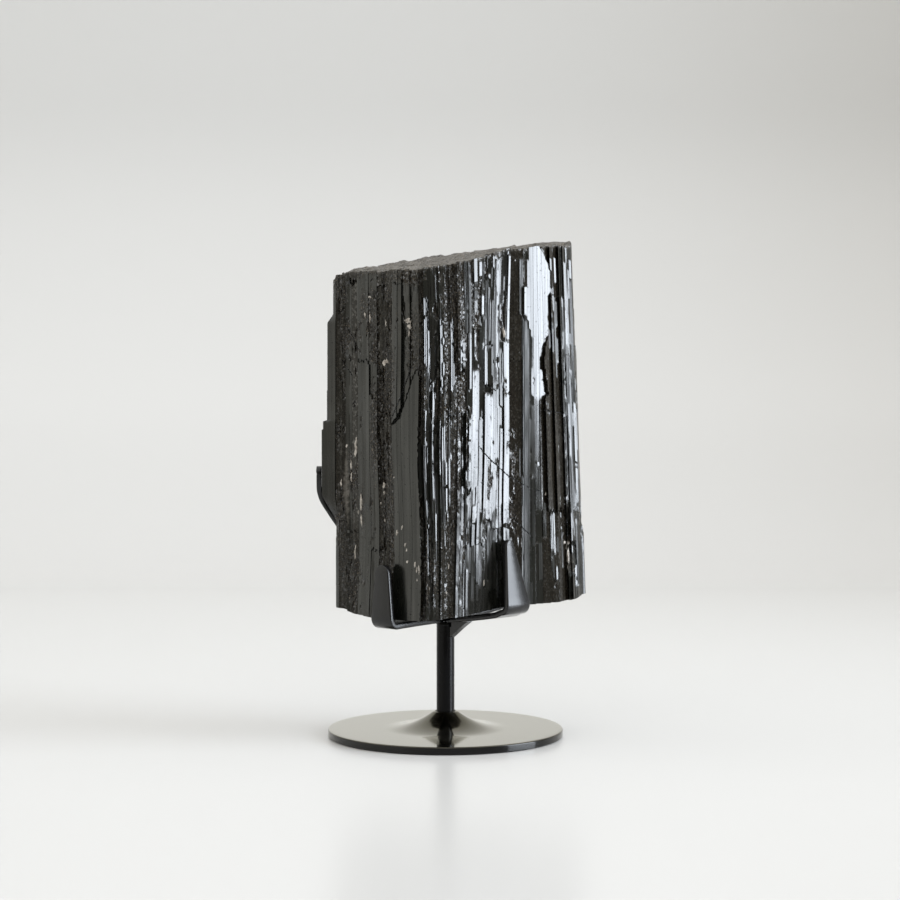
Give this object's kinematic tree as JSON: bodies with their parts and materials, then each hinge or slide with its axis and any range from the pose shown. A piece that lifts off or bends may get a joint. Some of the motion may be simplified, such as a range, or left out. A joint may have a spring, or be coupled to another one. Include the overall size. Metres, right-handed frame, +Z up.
{
  "type": "black tourmaline on stand",
  "caption": "Upright block of black tourmaline crystals held by the bent flat prongs of a black metal stand with a round post and a turned base disc.",
  "frame": {"origin": "centre of the underside of the base disc", "axes": "+Z up along the post; -Y is the front, the side with the widest lit crystal faces; +X is to the right seen from the front"},
  "size_m": [0.1516, 0.13, 0.2774],
  "materials": {
    "stand_paint": "gloss black paint",
    "tourmaline": "glassy crystal faces with rough breaks"
  },
  "bodies": {
    "root": {"base_disc": "stand_paint", "post": "stand_paint", "arm_gusset": "stand_paint", "front_left_prong": "stand_paint", "front_right_prong": "stand_paint", "back_left_prong": "stand_paint", "back_right_prong": "stand_paint", "tourmaline": "tourmaline"}
  },
  "joints": []
}
